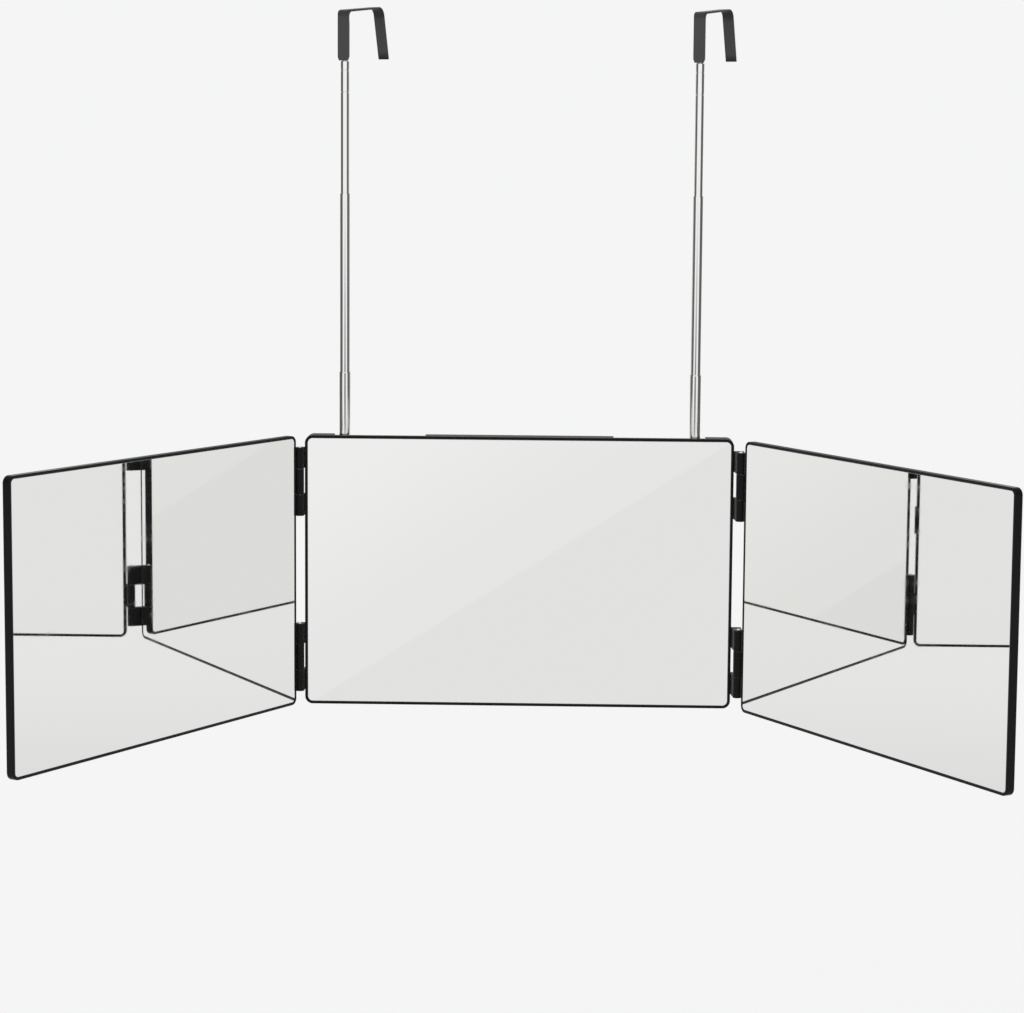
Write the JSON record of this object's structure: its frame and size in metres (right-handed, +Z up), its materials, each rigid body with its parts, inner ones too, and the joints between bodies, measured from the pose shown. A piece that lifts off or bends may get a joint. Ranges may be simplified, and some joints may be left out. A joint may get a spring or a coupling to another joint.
{
  "type": "trifold hanging mirror",
  "caption": "Three hinged mirror panels in a flat folding case, hung over a door on telescopic rods with swivelling hooks.",
  "frame": {"origin": "middle of the casing's bottom edge, in the plane of the two rods", "axes": "+X across the mirror to the viewer's right, the glass faces -Y, +Z up along the rods"},
  "size_m": [0.5808, 0.3082, 0.4559],
  "materials": {
    "charcoal_plastic": "satin moulded charcoal with a fine spark-eroded texture",
    "hook_plastic": "matt charcoal moulded plastic",
    "mirror_glass": "float glass, silvered on the back",
    "foam_tape": "black closed-cell foam tape",
    "backing_board": "black sheet",
    "stainless_tube": "polished drawn stainless tube",
    "spring_bronze": "bare spring bronze",
    "sleeve_plug": "black moulded plastic",
    "zinc_steel": "zinc-plated steel",
    "pin_steel": "bright steel"
  },
  "bodies": {
    "root": {"casing": "charcoal_plastic", "backing_plate": "backing_board", "centre_tape": "foam_tape", "centre_mirror": "mirror_glass", "plate_screws": "pin_steel", "clamp_screws": "pin_steel", "bracket_screws": "pin_steel", "left_lower_hinge_bracket": "charcoal_plastic", "left_lower_hinge_pin": "pin_steel", "left_upper_hinge_bracket": "charcoal_plastic", "left_upper_hinge_pin": "pin_steel", "left_rod_sleeve": "zinc_steel", "left_sleeve_plug": "sleeve_plug", "left_lower_clamp": "zinc_steel", "left_upper_clamp": "zinc_steel", "right_lower_hinge_bracket": "charcoal_plastic", "right_lower_hinge_pin": "pin_steel", "right_upper_hinge_bracket": "charcoal_plastic", "right_upper_hinge_pin": "pin_steel", "right_rod_sleeve": "zinc_steel", "right_sleeve_plug": "sleeve_plug", "right_lower_clamp": "zinc_steel", "right_upper_clamp": "zinc_steel"},
    "left_wing": {"left_wing_tray": "charcoal_plastic", "left_wing_tape": "foam_tape", "left_wing_mirror": "mirror_glass", "left_leaf_screws": "pin_steel", "left_lower_hinge_leaf": "charcoal_plastic", "left_upper_hinge_leaf": "charcoal_plastic"},
    "left_lower_rod": {"left_lower_tube": "stainless_tube", "left_lower_ring": "spring_bronze"},
    "left_middle_rod": {"left_middle_tube": "stainless_tube", "left_middle_ring": "spring_bronze"},
    "left_upper_rod": {"left_upper_tube": "stainless_tube", "left_upper_ring": "spring_bronze", "left_swivel_pin": "pin_steel"},
    "left_hook": {"left_hook": "hook_plastic"},
    "right_wing": {"right_wing_tray": "charcoal_plastic", "right_wing_tape": "foam_tape", "right_wing_mirror": "mirror_glass", "right_leaf_screws": "pin_steel", "right_lower_hinge_leaf": "charcoal_plastic", "right_upper_hinge_leaf": "charcoal_plastic"},
    "right_lower_rod": {"right_lower_tube": "stainless_tube", "right_lower_ring": "spring_bronze"},
    "right_middle_rod": {"right_middle_tube": "stainless_tube", "right_middle_ring": "spring_bronze"},
    "right_upper_rod": {"right_upper_tube": "stainless_tube", "right_upper_ring": "spring_bronze", "right_swivel_pin": "pin_steel"},
    "right_hook": {"right_hook": "hook_plastic"}
  },
  "joints": [
    {"name": "left_wing_hinge", "type": "hinge", "parent": "root", "child": "left_wing", "pos_m": [-0.1434, -0.00925, 0.089], "axis": [0, 0, 1], "range_deg": [-60, 120]},
    {"name": "left_lower_slide", "type": "slide", "parent": "root", "child": "left_lower_rod", "axis": [0, 0, -1], "range_m": [-0.027, 0.085]},
    {"name": "left_middle_slide", "type": "slide", "parent": "left_lower_rod", "child": "left_middle_rod", "axis": [0, 0, -1], "range_m": [0, 0.114]},
    {"name": "left_upper_slide", "type": "slide", "parent": "left_middle_rod", "child": "left_upper_rod", "axis": [0, 0, -1], "range_m": [-0.029, 0.082]},
    {"name": "left_hook_swivel", "type": "hinge", "parent": "left_upper_rod", "child": "left_hook", "pos_m": [-0.1145, 0, 0.4203], "axis": [0, 0, -1], "range_deg": [-116, 64]},
    {"name": "right_wing_hinge", "type": "hinge", "parent": "root", "child": "right_wing", "pos_m": [0.1442, -0.01535, 0.089], "axis": [0, 0, -1], "range_deg": [-60, 120]},
    {"name": "right_lower_slide", "type": "slide", "parent": "root", "child": "right_lower_rod", "axis": [0, 0, -1], "range_m": [-0.027, 0.085]},
    {"name": "right_middle_slide", "type": "slide", "parent": "right_lower_rod", "child": "right_middle_rod", "axis": [0, 0, -1], "range_m": [0, 0.114]},
    {"name": "right_upper_slide", "type": "slide", "parent": "right_middle_rod", "child": "right_upper_rod", "axis": [0, 0, -1], "range_m": [-0.029, 0.082]},
    {"name": "right_hook_swivel", "type": "hinge", "parent": "right_upper_rod", "child": "right_hook", "pos_m": [0.1145, 0, 0.4203], "axis": [0, 0, 1], "range_deg": [-64, 116]}
  ]
}
